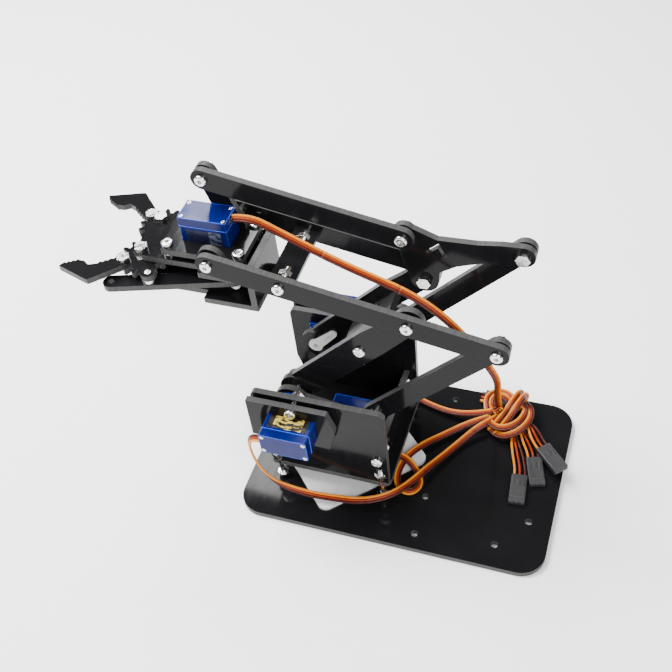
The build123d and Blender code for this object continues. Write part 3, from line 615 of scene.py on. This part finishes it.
def seam(name, body, centre, normal, along, size):
    """A thin rounded rectangular lip around a case. size is its outside."""
    centre, normal, along = Vector(centre), Vector(normal), Vector(along)
    beside = normal.cross(along)
    bm = bmesh.new()
    rings = []
    for out, level in ((0.0, -SEAM_PROUD), (SEAM_BAR * 0.25, 0.0), (0.0, SEAM_PROUD)):
        grow = 1 + 2 * out / size[0]
        rings.append([bm.verts.new((centre + along * x * grow + beside * y * grow + normal * level) * MM)
                      for x, y in rounded(size, SEAM_CORNER, 5)])
    shrink = 1 - 2 * SEAM_BAR / size[0]
    outline = [v.co / MM - centre for v in rings[0]]
    flat = [spot - normal * spot.dot(normal) for spot in outline]
    for level in (SEAM_PROUD, -SEAM_PROUD):
        rings.append([bm.verts.new((centre + spot * shrink + normal * level) * MM) for spot in flat])
    for one, two in zip(rings, rings[1:] + rings[:1]):
        join_rings(bm, one, two, smooth=True)
    piece = new_piece(name, bm, [BLUE])
    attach(piece, body)


def decal(name, body, centre, normal, along, size, material):
    """A thin sticker with rounded corners and a bevelled rim."""
    centre, normal, along = Vector(centre), Vector(normal), Vector(along)
    beside = normal.cross(along)
    bm = bmesh.new()
    rings = []
    for inset, level in ((0.0, 0.0), (0.0, STICKER_THICK * 0.6), (STICKER_THICK * 0.8, STICKER_THICK)):
        rings.append([bm.verts.new((centre + along * x + beside * y + normal * level) * MM)
                      for x, y in rounded(size, STICKER_CORNER, 4, inset)])
    for one, two in zip(rings, rings[1:]):
        join_rings(bm, one, two)
    bm.faces.new(rings[-1])
    bm.faces.new(rings[0][::-1])
    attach(new_piece(name, bm, [material]), body)


def case_screws(name, body, places, normal):
    """Small cross-slotted screws let into a case's corners."""
    normal = Vector(normal)
    one = normal.orthogonal().normalized()
    two = normal.cross(one)
    bm = bmesh.new()
    for place in places:
        rings = []
        for radius, level in SCREW_RINGS:
            ring = []
            for k in range(SCREW_SIDES):
                turn = 2 * math.pi * k / SCREW_SIDES
                depth = level - (SCREW_SLOT if k % 6 == 0 and radius < 0.9 else 0.0)
                spot = Vector(place) + radius * (math.cos(turn) * one + math.sin(turn) * two) + normal * depth
                ring.append(bm.verts.new(spot * MM))
            rings.append(ring)
        for a, b in zip(rings, rings[1:]):
            join_rings(bm, a, b)
        middle = bm.verts.new((Vector(place) - normal * 0.1) * MM)
        for k in range(SCREW_SIDES):
            bm.faces.new((rings[-1][k], rings[-1][(k + 1) % SCREW_SIDES], middle))
        bm.faces.new(rings[0][::-1])
    piece = new_piece(name, bm, [STEEL])
    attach(piece, body)


def dress_side_servo(side, name):
    """Seams, screws and a sticker on a servo that lies along Y; side is +1 left, -1 right."""
    low, high = (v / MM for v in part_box(name + "_servo_case"))
    x, z = sum(SIDE_SPAN) / 2, (low.z + high.z) / 2
    end = high.y if side > 0 else low.y
    size = (SERVO_LENGTH + 0.3, high.z - low.z + 0.3)
    for place, back in SERVO_SEAMS:
        seam(f"{name}_servo_seam_{place}", "turntable", (x, end - side * back, z), (0, 1, 0), (1, 0, 0), size)
    across, up = SCREW_REACH
    case_screws(f"{name}_servo_screws", "turntable",
                [(x + sx * across, end, z + sz * up) for sx in (-1, 1) for sz in (-1, 1)], (0, side, 0))
    gold = sticker(name + "_sticker", (0.012, 0.010, 0.010), (0.55, 0.40, 0.06), 0.0050, 0.0190, 0)
    decal(f"{name}_servo_sticker", "turntable", (x, end - side * 10.0, high.z), (0, 0, 1), (1, 0, 0),
          (19.0, 8.2), gold)


def dress_gripper_servo():
    """Seams, screws and a sticker on the upright servo that works the claws."""
    low, high = (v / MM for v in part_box("gripper_servo_case"))
    x, y, top = sum(GRIPPER_SPAN) / 2, (low.y + high.y) / 2, high.z
    size = (SERVO_LENGTH + 0.3, high.y - low.y + 0.3)
    for place, down in SERVO_SEAMS:
        seam(f"gripper_servo_seam_{place}", "gripper", (x, y, top - down), (0, 0, 1), (1, 0, 0), size)
    across, up = SCREW_REACH
    case_screws("gripper_servo_screws", "gripper",
                [(x + sx * across, y + sy * up, top) for sx in (-1, 1) for sy in (-1, 1)], (0, 0, 1))
    pale = sticker("gripper_sticker", (0.012, 0.014, 0.05), (0.10, 0.12, 0.18), 0.047, 0.053, 0)
    decal("gripper_servo_sticker", "gripper", (x, high.y, top - 10.0), (0, 1, 0), (-1, 0, 0), (17.0, 8.0),
          pale)


dress_side_servo(1, "left")
dress_side_servo(-1, "right")
dress_gripper_servo()


# ---------------------------------------------------------------- floor and light

def add_floor():
    """A wide pale sheet that the base plate stands on, faintly uneven in tone."""
    m = Nodes("floor_paper")
    cloud = m.noise(2.0, detail=3.0)
    m.set("Base Color", m.mix(cloud, (0.90, 0.90, 0.90), (0.92, 0.92, 0.92)))
    m.set("Roughness", 0.85)
    bm = bmesh.new()
    bmesh.ops.create_grid(bm, x_segments=8, y_segments=8, size=4.0)
    floor = new_piece("floor", bm, [m.material])
    floor.location = (0, 0, -0.0002)


def add_light(name, place, target, size, power):
    data = bpy.data.lights.new(name, "AREA")
    data.shape = "RECTANGLE"
    data.size, data.size_y = size
    data.energy = power
    light = bpy.data.objects.new(name, data)
    collection.objects.link(light)
    aim = Vector(target) - Vector(place)
    turn = aim.to_track_quat("-Z", "Y").to_matrix().to_4x4()
    light.matrix_world = Matrix.Translation(Vector(place)) @ turn


def add_world():
    world = bpy.data.worlds.new("studio")
    world.use_nodes = True
    back = world.node_tree.nodes["Background"]
    back.inputs["Color"].default_value = (1.0, 1.0, 1.0, 1.0)
    back.inputs["Strength"].default_value = 0.45
    bpy.context.scene.world = world


add_floor()
add_world()
add_light("key", (0.75, -0.1, 1.15), (0, 0, 0.05), (0.8, 0.8), 66.0)
add_light("fill", (-0.7, 0.95, 0.95), (0, 0, 0.08), (0.9, 0.9), 27.0)
add_light("jaw_panel", (0.226, -0.353, 0.524), (0.075, -0.008, 0.123), (0.14, 0.14), 2.2)
